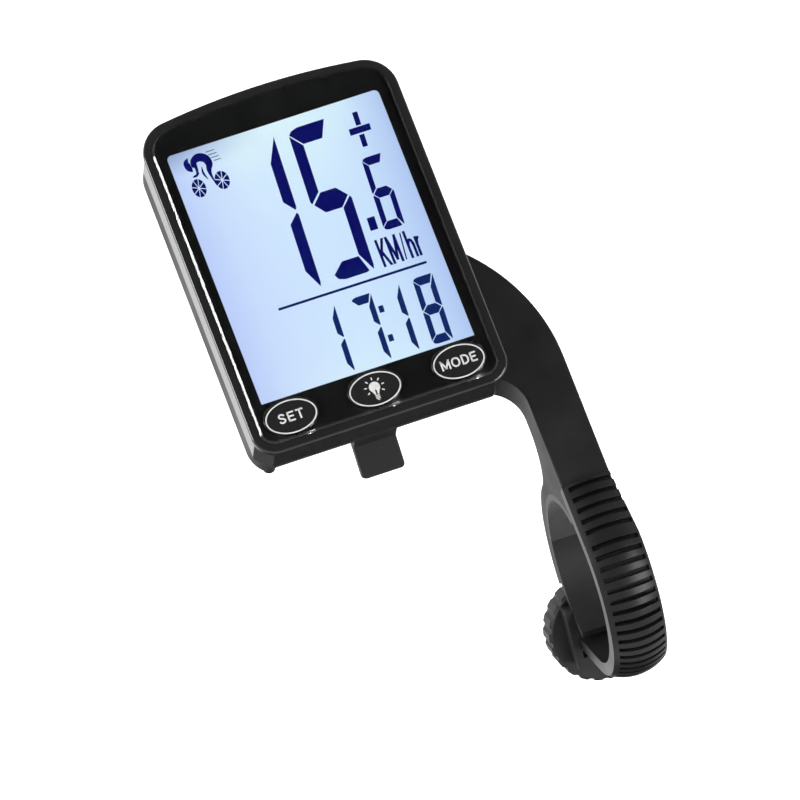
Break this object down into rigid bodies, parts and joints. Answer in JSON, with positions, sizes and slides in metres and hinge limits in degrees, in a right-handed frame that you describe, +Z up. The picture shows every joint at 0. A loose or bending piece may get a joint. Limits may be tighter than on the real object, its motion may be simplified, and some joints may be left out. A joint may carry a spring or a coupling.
{
  "type": "cycling computer",
  "caption": "Wireless cycling computer with a large backlit display and oval keys, on an out-front arm with a ribbed handlebar strap.",
  "frame": {"origin": "centre of the handlebar clamp, on the bar's axis, midway across the strap", "axes": "+X along the handlebar to the rider's right, +Y forward, +Z up; the display is tilted 20 degrees toward the rider"},
  "size_m": [0.0689, 0.1077, 0.1005],
  "materials": {
    "bezel_gloss": "high gloss",
    "lens_clear": "polished",
    "mask_black": "printed gloss",
    "key_black": "satin gloss",
    "lcd_glass": "lit display",
    "guide_white": "frosted",
    "tray_white": "moulded",
    "board_green": "solder mask",
    "part_black": "moulded",
    "steel": "plated",
    "shell_black": "fine texture",
    "rubber_black": "matt",
    "arm_black": "fine moulded texture",
    "strap_black": "semi-gloss"
  },
  "bodies": {
    "bracket": {"extension_arm": "arm_black", "saddle_pad": "rubber_black", "ribbed_strap": "strap_black", "bracket_shoe": "arm_black", "shoe_screws": "steel"},
    "head": {"front_bezel": "bezel_gloss", "display_lens": "lens_clear", "lens_mask": "mask_black", "key_domes": "steel", "lcd_panel": "lcd_glass", "light_guide": "guide_white", "backlight_leds": "guide_white", "lcd_frame": "tray_white", "contact_strip": "rubber_black", "circuit_board": "board_green", "controller_chip": "part_black", "timing_crystal": "steel", "radio_coil": "part_black", "coin_cell": "steel", "battery_contact_plus": "steel", "battery_contact_minus": "steel", "door_seal": "rubber_black", "case_gasket": "rubber_black", "rear_shell": "shell_black", "case_screws": "steel"},
    "latch": {"release_latch": "arm_black"},
    "dial": {"dial_nut": "arm_black"},
    "key_a": {"key_set": "key_black"},
    "key_b": {"key_light": "key_black"},
    "key_c": {"key_mode": "key_black"},
    "door": {"battery_door": "shell_black"}
  },
  "joints": [
    {"name": "head_slide", "type": "slide", "parent": "bracket", "child": "head", "axis": [0, 0.9397, 0.342], "range_m": [0, 0.032], "deforming": ["release_latch"]},
    {"name": "latch_press", "type": "hinge", "parent": "bracket", "child": "latch", "pos_m": [-0.0337, 0.04165, 0.03761], "axis": [1, 0, 0], "range_deg": [0, 4.5], "stiffness_Nm_per_rad": 1.5},
    {"name": "dial_turn", "type": "hinge", "parent": "bracket", "child": "dial", "pos_m": [0, 0.00726, -0.02472], "axis": [0, 0.8572, -0.515], "continuous": true},
    {"name": "set_press", "type": "slide", "parent": "head", "child": "key_a", "axis": [0, 0.342, -0.9397], "range_m": [0, 0.0004], "stiffness_N_per_m": 1500},
    {"name": "light_press", "type": "slide", "parent": "head", "child": "key_b", "axis": [0, 0.342, -0.9397], "range_m": [0, 0.0004], "stiffness_N_per_m": 1500},
    {"name": "mode_press", "type": "slide", "parent": "head", "child": "key_c", "axis": [0, 0.342, -0.9397], "range_m": [0, 0.0004], "stiffness_N_per_m": 1500},
    {"name": "door_turn", "type": "hinge", "parent": "head", "child": "door", "pos_m": [-0.0337, 0.06738, 0.04879], "axis": [0, 0.342, -0.9397], "range_deg": [0, 50]}
  ]
}
